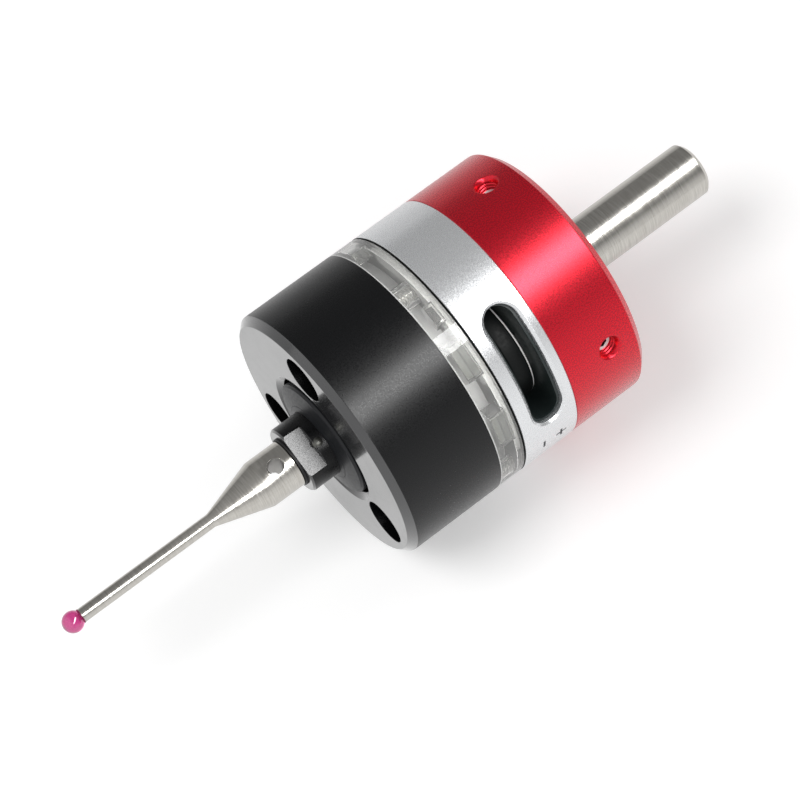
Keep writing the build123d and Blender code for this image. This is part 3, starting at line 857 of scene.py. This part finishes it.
def trigger_chip():
    """Dark chip between its two rows of soldered feet."""
    bm = bmesh.new()
    add_on_board(bm, CHIP_ANGLE, LAMP_OUTER_R - 0.1, CHIP_WIDTH - 0.6, CHIP_DEPTH - 0.2,
                 CHIP_LIFT, CHIP_HEIGHT, CHIP_CORNER)
    chip = as_object("trigger_chip_body", bm, CHIP)
    smooth(chip, edge_break=0.05)
    join(chip, "body", "chip_black", "trigger_chip")
    bm = bmesh.new()
    for side in (-1, 1):
        for foot in range(3):
            outer_r = LAMP_OUTER_R - 0.15 - foot * FOOT_PITCH
            add_on_board(bm, CHIP_ANGLE + side * FOOT_ANGLE, outer_r, FOOT_WIDTH, FOOT_DEPTH,
                         0.0, FOOT_HEIGHT, FOOT_CORNER)
    feet = as_object("trigger_chip_feet", bm, SOLDER)
    smooth(feet, edge_break=0.03)
    join(feet, "body", "chip_black", "trigger_chip")


# Silver battery body with its slot and marks

CHAMFER = 0.4
CHAMFER_OVERLAP = 0.1
CHAMFER_CUTTER_TOP = 2.0
EDGE = 0.12
SLOT_X = BATTERY_X + 4.75
SLOT_WIDTH = 18.4
SLOT_HEIGHT = 5.0
SLOT_BOTTOM_R = -1.6
PLUG_R = 5.0
PLUG_DEPTH = 1.9
MARK_ANGLE = 88.55
MARK_LENGTH = 1.7
MARK_WIDTH = 0.32
MARK_DEPTH = 0.05
PLUS_X = REAR_X - 14.8
MINUS_X = REAR_X - 17.65


def body_skin(lift):
    """Gives the height of the body's round outside, plus a lift, at a place across the slot."""
    return lambda across: sqrt(BODY_R ** 2 - across ** 2) + lift


def battery_body():
    """Silver ring with the chamfered cell slot, the screw holes and the etched marks."""
    body = turned("battery_body_silver", [
        (BATTERY_X, 0),
        (BATTERY_X, BODY_R - EDGE),
        (BATTERY_X + EDGE, BODY_R),
        (CAP_X - EDGE, BODY_R),
        (CAP_X, BODY_R - EDGE),
        (CAP_X, 0),
    ], SILVER)
    bm = bmesh.new()
    add_at_screws(bm, bore(SCREW_HOLE_R, CAP_X - BATTERY_X + BEYOND), BATTERY_X)
    add_turned(bm, bore(PLUG_R, PLUG_DEPTH), place=along(0, 0, BATTERY_X))
    cut_away(body, bm)

    place = facing(SLOT_ANGLE, 0, SLOT_X)
    layers = [(height, SLOT_WIDTH, SLOT_HEIGHT) for height in (SLOT_BOTTOM_R, BODY_R + BEYOND)]
    cut_away(body, slot_shape(layers, place))
    flare = [(-CHAMFER - CHAMFER_OVERLAP, -CHAMFER_OVERLAP), (CHAMFER, 2 * CHAMFER),
             (CHAMFER_CUTTER_TOP, 2 * CHAMFER), (CHAMFER_CUTTER_TOP, -CHAMFER_OVERLAP)]
    layers = [(body_skin(lift), SLOT_WIDTH + 2 * out, SLOT_HEIGHT + 2 * out) for lift, out in flare]
    cut_away(body, slot_shape(layers, place, closed_band=True))

    lengthwise = (MARK_LENGTH, MARK_WIDTH, 2 * MARK_DEPTH)
    crosswise = (MARK_WIDTH, MARK_LENGTH, 2 * MARK_DEPTH)
    for x, size in ((PLUS_X, lengthwise), (PLUS_X, crosswise), (MINUS_X, crosswise)):
        bm = bmesh.new()
        add_block(bm, size, facing(MARK_ANGLE, BODY_R, x))
        cut_away(body, bm, MARK)
    smooth(body, edge_break=0.04, sharp=40)
    join(body, "body", "silver_anodised", "battery_body")


# Coin cell in the slot

CELL_R = 8.0
CELL_CAP_R = 6.7
CELL_STEP = 0.5
CELL_THICKNESS = 3.2
CELL_OFFSET = 6.9
CELL_FRONT_X = SLOT_X - CELL_THICKNESS / 2
# The cell's edges are rounded between a large and a small setback
CELL_SETBACK = 0.3
CELL_SMALL_SETBACK = 0.1


def coin_cell():
    """Coin cell: the minus cap with its seal to the front, the plus can round it. Its sides are
    painted near-black as painted shade, and its rear rim pale as a painted highlight.
    """
    thick, large, small = CELL_THICKNESS, CELL_SETBACK, CELL_SMALL_SETBACK
    bm = bmesh.new()
    add_turned(bm, [
        (0, 0),
        (0, CELL_CAP_R - large),
        (small, CELL_CAP_R - small),
        (CELL_STEP, CELL_CAP_R),
        (CELL_STEP, CELL_R - large),
        (CELL_STEP + small, CELL_R - small),
        (CELL_STEP + large, CELL_R),
        (thick - large, CELL_R),
        (thick - small, CELL_R - small),
        (thick, CELL_R - large),
        (thick, 0),
    ], MIDDLE_STEPS, along(SLOT_ANGLE, CELL_OFFSET, CELL_FRONT_X))
    cell = as_object("coin_cell_can", bm, NICKEL)
    rim_x = (CELL_FRONT_X + thick - large) * MM
    # Painted shade: the sides of the cell in front of its rear rim are painted near-black
    repaint(cell, CELL_PAINTED_SHADE,
            lambda face: face.center.x < rim_x and abs(face.normal.x) < ALIGNED)
    # Painted highlight: the rear rounding and rear face of the cell are painted pale white
    repaint(cell, PAINTED_HIGHLIGHT_RIM, lambda face: face.normal.x > 0.2)
    smooth(cell)
    join(cell, "body", "nickel", "coin_cell")


# Red rear cap and the four screws that centre the shank

CAP_CAVITY_R = 11.2
CAP_WALL = 2.5
CAP_BORE_R = 5.3
CAP_BORE_CHAMFER = 0.3
SCREW_CLEARANCE = 0.05
SET_SCREW_X = REAR_X - 5.0
SET_HOLE_R = 1.55
SET_HOLE_CHAMFER = 0.25
SET_SCREW_R = 1.5
SET_SCREW_TIP_R = 10.51
SET_SCREW_TOP_R = BODY_R - 2.0
SET_THREAD_DEPTH = 0.22
SET_CORE_R = SET_SCREW_R - SET_THREAD_DEPTH - 0.1
SET_SOCKET_AF = 1.5


def rear_cap():
    """Red cap with the shank's cavity and four threaded holes."""
    cap = turned("rear_cap_red", [
        (CAP_X, CAP_CAVITY_R),
        (CAP_X, BODY_R),
        (REAR_X - BODY_CHAMFER, BODY_R),
        (REAR_X, BODY_R - BODY_CHAMFER),
        (REAR_X, CAP_BORE_R + CAP_BORE_CHAMFER),
        (REAR_X - CAP_BORE_CHAMFER, CAP_BORE_R),
        (REAR_X - CAP_WALL, CAP_BORE_R),
        (REAR_X - CAP_WALL, CAP_CAVITY_R),
    ], RED)
    inner = CAP_CAVITY_R - BEYOND
    mouth = BODY_R - SET_HOLE_CHAMFER
    flare = SET_HOLE_CHAMFER + BEYOND
    outline = [(inner, 0), *thread(inner, mouth - 0.2, SET_HOLE_R, SET_THREAD_DEPTH, SCREW_PITCH),
               (mouth, SET_HOLE_R), (mouth + flare, SET_HOLE_R + flare), (mouth + flare, 0)]
    bm = bmesh.new()
    for angle in SET_SCREW_ANGLES:
        add_turned(bm, outline, HOLE_STEPS, facing(angle, 0, SET_SCREW_X))
    depth = SCREW_END_X - CAP_X + SCREW_CLEARANCE
    add_at_screws(bm, bore(SCREW_R + SCREW_CLEARANCE, depth), CAP_X)
    cut_away(cap, bm)
    smooth(cap, edge_break=0.08, sharp=40)
    join(cap, "body", "red_anodised", "rear_cap")


def set_screws():
    """Four headless screws: a ring painted pale white as a painted highlight, round a dark hex
    socket.
    """
    tip, top = SET_SCREW_TIP_R, SET_SCREW_TOP_R
    ridges = thread(tip + 0.3, top - 0.4, SET_SCREW_R - 0.02, SET_THREAD_DEPTH, SCREW_PITCH)
    outline = [(tip, 0), (tip, SET_CORE_R - 0.2), *ridges, (top - 0.2, SET_SCREW_R - 0.05),
               (top, SET_CORE_R + 0.05), (top, 0)]
    bm = bmesh.new()
    sockets = bmesh.new()
    for angle in SET_SCREW_ANGLES:
        place = facing(angle, 0, SET_SCREW_X)
        add_turned(bm, outline, HOLE_STEPS, place)
        add_hexagon(sockets, SET_SOCKET_AF, top - SOCKET_DEPTH, top + BEYOND, place)
    screws = as_object("set_screws_m3", bm, THREAD_STEEL)
    cut_away(screws, sockets, SCREW_STEEL)
    rim_r = (top - 0.5) * MM
    # Painted highlight: the top edge of each screw is painted pale white
    repaint(screws, PAINTED_HIGHLIGHT_RIM, lambda face: radius_of(face) > rim_r and face.material_index == 0)
    smooth(screws, sharp=25)
    join(screws, "body", "screw_steel", "set_screws")


# Shank

SHANK_R = 4.0
SHANK_END_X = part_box("shank")[1].x / MM
SHANK_CHAMFER = 0.6
FLANGE_R = 10.5
FLANGE_FRONT_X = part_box("shank")[0].x / MM
FLANGE_REAR_X = REAR_X - CAP_WALL - 0.01
BOSS_R = 5.0


def shank():
    """Steel shank with the boss and flange that the cap holds."""
    piece = turned("shank_steel", [
        (FLANGE_FRONT_X, 0),
        (FLANGE_FRONT_X, FLANGE_R),
        (FLANGE_REAR_X, FLANGE_R),
        (FLANGE_REAR_X, BOSS_R),
        (REAR_X, BOSS_R),
        (REAR_X, SHANK_R),
        (SHANK_END_X - SHANK_CHAMFER, SHANK_R),
        (SHANK_END_X, SHANK_R - SHANK_CHAMFER),
        (SHANK_END_X, 0),
    ], STEEL, MIDDLE_STEPS)
    smooth(piece, edge_break=0.06)
    join(piece, "body", "steel", "shank")


# Finishes of the pieces whose solids stay as they are

KEPT_FINISHES = {
    "seat_blocks": INSULATOR,
    "seat_balls": BRIGHT_STEEL,
    "spider_arms": BRIGHT_STEEL,
    "return_spring": BRIGHT_STEEL,
    "spring_plug": INSULATOR,
    "lamp_board": BOARD,
    "gasket": GASKET_AND_PAINTED_SHADE,
    "cell_holder": LINER,
    "contact_minus": NICKEL,
    "contact_plus": NICKEL,
    "clamp_ring": BRASS,
}


def finish_kept_nodes():
    """Gives each solid that stays its finish."""
    for node, material in KEPT_FINISHES.items():
        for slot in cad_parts[node].material_slots:
            slot.material = material


front_housing()
dust_washer()
neck_seal()
stylus_holder()
lock_pin()
stylus()
stylus_washer()
ruby_ball()
stack_screws()
window_ring()
lamps()
trigger_chip()
battery_body()
coin_cell()
rear_cap()
set_screws()
shank()
finish_kept_nodes()

# Camera at the photograph's angle. From here on, lengths are in metres.

VIEW_AZIMUTH = -38.54
VIEW_ELEVATION = 67.57
VIEW_DISTANCE = 0.3804
VIEW_TARGET = Vector((-0.02688, 0.0, -0.00636))
VIEW_LENS = 126.65
VIEW_SENSOR = 36.0


def add_camera():
    """The camera of the photograph, worked out from the object's own edges."""
    azimuth, elevation = radians(VIEW_AZIMUTH), radians(VIEW_ELEVATION)
    back = Vector((sin(azimuth) * cos(elevation), -cos(azimuth) * cos(elevation), sin(elevation)))
    data = bpy.data.cameras.new("photo_camera")
    data.sensor_width = VIEW_SENSOR
    data.lens = VIEW_LENS
    data.clip_start = 0.01
    data.clip_end = 20.0
    camera = bpy.data.objects.new("photo_camera", data)
    camera.rotation_mode = "QUATERNION"
    camera.location = VIEW_TARGET + back * VIEW_DISTANCE
    camera.rotation_quaternion = (-back).to_track_quat("-Z", "Y")
    bpy.context.scene.collection.objects.link(camera)
    bpy.context.scene.camera = camera


# Floor, lamps and backdrop

FLOOR_HALF_SIZE = 3.0
FLOOR_GAP = 0.00002
FLOOR_ROUGHNESS = 0.8
# The floor's whiteness, and its whiteness where the tool mirrors it
FLOOR_WHITE = 0.86
FLOOR_MIRRORED_WHITE = 0.46
# The floor's own light for the camera, and where the tool mirrors it, from near to far
FLOOR_LIFT = 0.33
FLOOR_GLOSS_NEAR = 0.53
FLOOR_GLOSS_FAR = 0.13
FLOOR_NEAR_Y = 0.01
FLOOR_FAR_Y = 0.11
# The brightness of the surroundings, and the directions over which the two sides fade out
WORLD_ABOVE = 0.24
WORLD_NEAR_SIDE = 0.66
WORLD_FRONT_SIDE = 0.7
NEAR_SIDE_Y = (-0.98, -0.70)
FRONT_SIDE_X = (-0.6, 0.0)

SOFTBOX_TARGET = Vector((-0.02, 0, 0))

# Each lamp: direction from the target, distance, size along and across the tool, radiance, and
# whether it lights the floor alone or everything but the floor
SOFTBOXES = {
    "strip": ((0.24, -0.27, 0.933), 0.9, 1.2, 0.2, 12.5, False),
    "shadow_lamp": ((-0.5, 0.16, 0.85), 1.2, 0.5, 0.5, 7.5, True),
    "front_shadow_lamp": ((0.76, 0.1, 0.64), 1.2, 0.45, 0.45, 2.6, True),
}


def add_softbox(floor, name, direction, distance, width, height, radiance, lights_floor):
    """A soft lamp that looks at the body of the tool; its width runs along the tool."""
    data = bpy.data.lights.new(name, "AREA")
    data.shape = "RECTANGLE"
    data.size = width
    data.size_y = height
    data.energy = radiance * pi * width * height
    lamp = bpy.data.objects.new(name, data)
    toward = Vector(direction).normalized()
    lamp.location = SOFTBOX_TARGET + toward * distance
    lamp.rotation_mode = "QUATERNION"
    lamp.rotation_quaternion = (-toward).to_track_quat("-Z", "Y")
    bpy.context.scene.collection.objects.link(lamp)
    receivers = bpy.data.collections.new(name + "_receivers")
    receivers.objects.link(floor)
    linking = receivers.collection_objects[0].light_linking
    linking.link_state = "INCLUDE" if lights_floor else "EXCLUDE"
    lamp.light_linking.receiver_collection = receivers


def combine(tree, operation, first, second):
    """A math node on a socket and a second socket or number."""
    node = tree.nodes.new("ShaderNodeMath")
    node.operation = operation
    tree.links.new(first, node.inputs[0])
    if isinstance(second, float):
        node.inputs[1].default_value = second
    else:
        tree.links.new(second, node.inputs[1])
    return node.outputs[0]


def add_floor():
    """A plain white table that keeps the tool's shadow."""
    bm = bmesh.new()
    bmesh.ops.create_grid(bm, x_segments=1, y_segments=1, size=FLOOR_HALF_SIZE)
    bmesh.ops.translate(bm, vec=(0, 0, cad_low.z - FLOOR_GAP), verts=bm.verts)
    material, tree, shader = new_material("white_table")
    shader.inputs["Roughness"].default_value = FLOOR_ROUGHNESS
    place = tree.nodes.new("ShaderNodeTexCoord")
    split = tree.nodes.new("ShaderNodeSeparateXYZ")
    tree.links.new(place.outputs["Object"], split.inputs["Vector"])
    mirrored = fade(tree, split.outputs["Y"], FLOOR_NEAR_Y, FLOOR_FAR_Y,
                    FLOOR_GLOSS_NEAR, FLOOR_GLOSS_FAR)
    path = tree.nodes.new("ShaderNodeLightPath")
    whiteness = fade(tree, path.outputs["Is Glossy Ray"], 0.0, 1.0,
                     FLOOR_WHITE, FLOOR_MIRRORED_WHITE)
    tree.links.new(whiteness, shader.inputs["Base Color"])
    seen = combine(tree, "MULTIPLY", path.outputs["Is Camera Ray"], FLOOR_LIFT)
    through = combine(tree, "MULTIPLY", path.outputs["Is Transmission Ray"], FLOOR_LIFT)
    reflected = combine(tree, "MULTIPLY", path.outputs["Is Glossy Ray"], mirrored)
    lift = combine(tree, "MAXIMUM", combine(tree, "MAXIMUM", seen, through), reflected)
    shader.inputs["Emission Color"].default_value = (1, 1, 1, 1)
    tree.links.new(lift, shader.inputs["Emission Strength"])
    floor = as_object("floor", bm, material)
    return floor


def add_world():
    """A white backdrop. The tool is lit by dim surroundings, brighter low down on the camera's side
    and in front of the tool."""
    world = bpy.data.worlds.new("studio")
    bpy.context.scene.world = world
    world.use_nodes = True
    tree = world.node_tree
    background = tree.nodes["Background"]
    place = tree.nodes.new("ShaderNodeTexCoord")
    split = tree.nodes.new("ShaderNodeSeparateXYZ")
    tree.links.new(place.outputs["Generated"], split.inputs["Vector"])
    near = fade(tree, split.outputs["Y"], *NEAR_SIDE_Y, WORLD_NEAR_SIDE, 0.0)
    front = fade(tree, split.outputs["X"], *FRONT_SIDE_X, WORLD_FRONT_SIDE, 0.0)
    around_tool = combine(tree, "ADD", combine(tree, "MAXIMUM", near, front), WORLD_ABOVE)
    path = tree.nodes.new("ShaderNodeLightPath")
    strength = combine(tree, "MAXIMUM", path.outputs["Is Camera Ray"], around_tool)
    tree.links.new(strength, background.inputs["Strength"])
    background.inputs["Color"].default_value = (1, 1, 1, 1)


add_camera()
table = add_floor()
for name, settings in SOFTBOXES.items():
    add_softbox(table, name, *settings)
add_world()
bpy.context.scene.view_settings.view_transform = "Standard"
